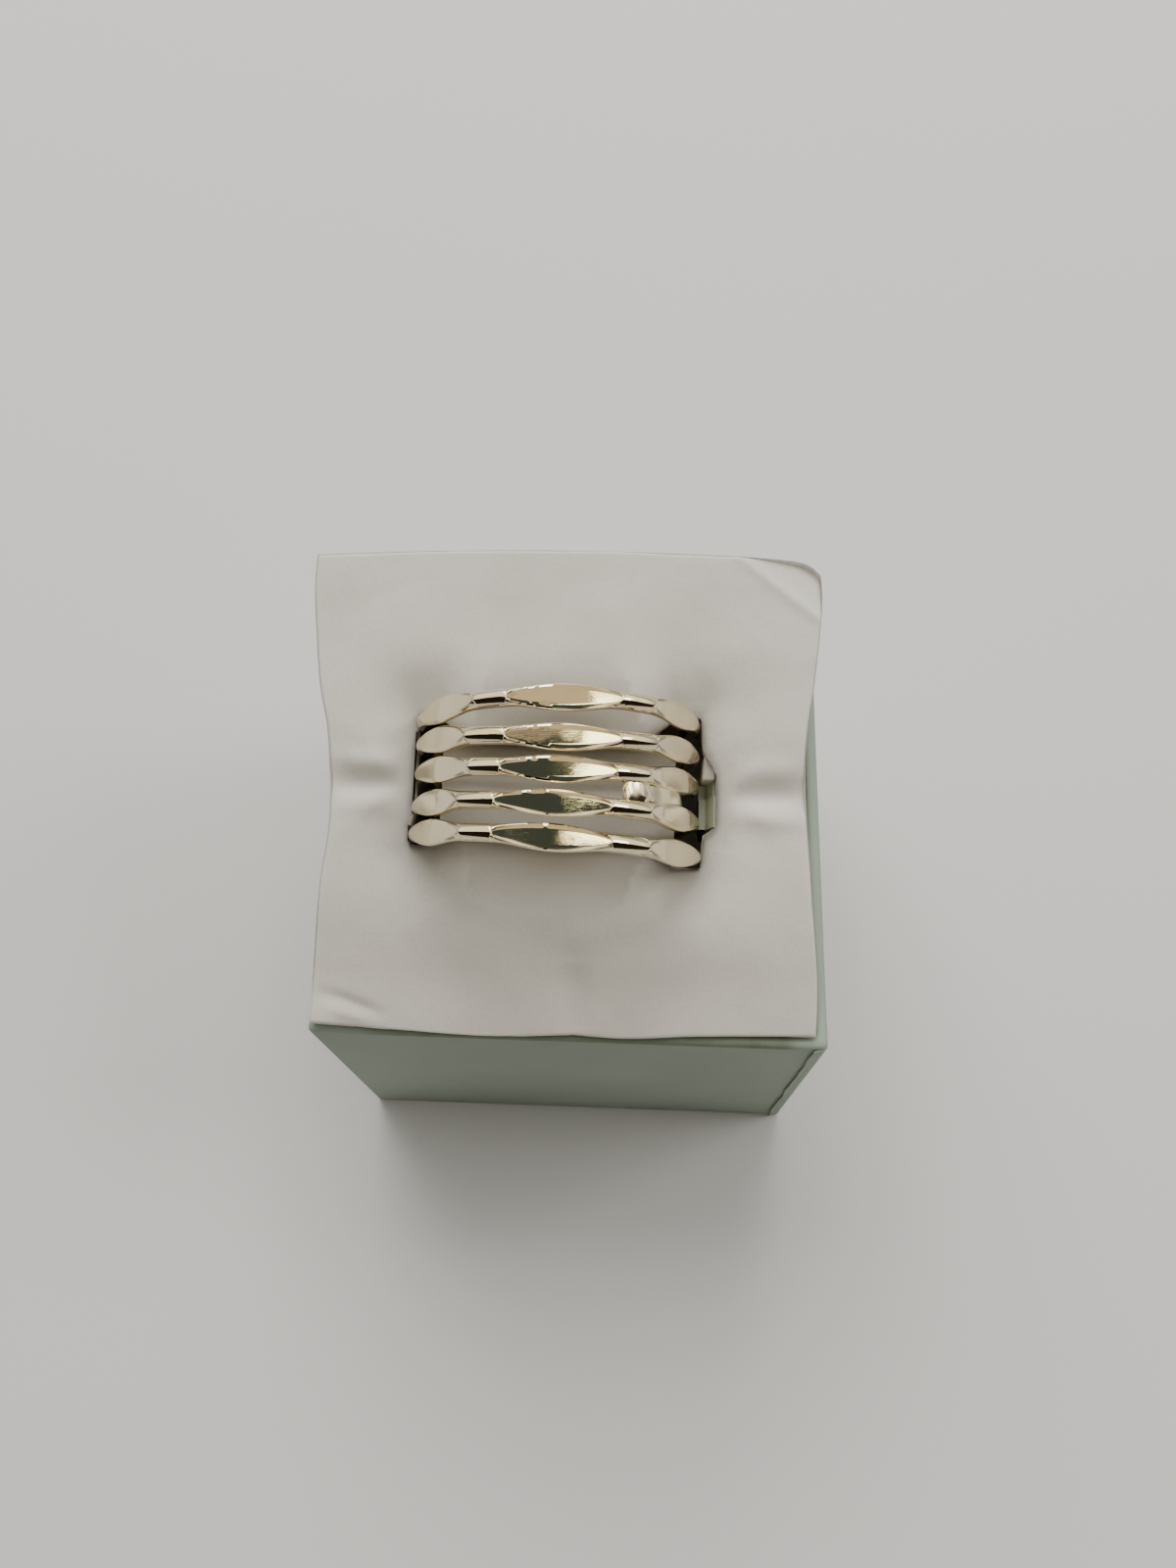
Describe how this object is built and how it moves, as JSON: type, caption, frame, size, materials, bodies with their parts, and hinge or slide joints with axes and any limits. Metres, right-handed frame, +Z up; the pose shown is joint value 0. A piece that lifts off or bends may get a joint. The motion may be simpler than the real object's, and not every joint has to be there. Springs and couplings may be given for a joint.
{
  "type": "band ring in ring box",
  "caption": "Finger ring of hammered round-wire bands soldered side by side, standing in the slot of a soft insert in an open card ring box.",
  "frame": {"origin": "centre of the box's underside, on the surface that it stands on", "axes": "+X to the right, +Y to the back, +Z up, seen from the front of the box; the insert slopes up towards the back"},
  "size_m": [0.0395, 0.0384, 0.0457],
  "materials": {
    "silver": "polished silver with hammered facets",
    "insert": "soft white flocked foam",
    "card": "matt pale green paper over card"
  },
  "bodies": {
    "root": {"ring_bands": "silver", "insert_pad": "insert", "box_tray": "card"}
  },
  "joints": []
}
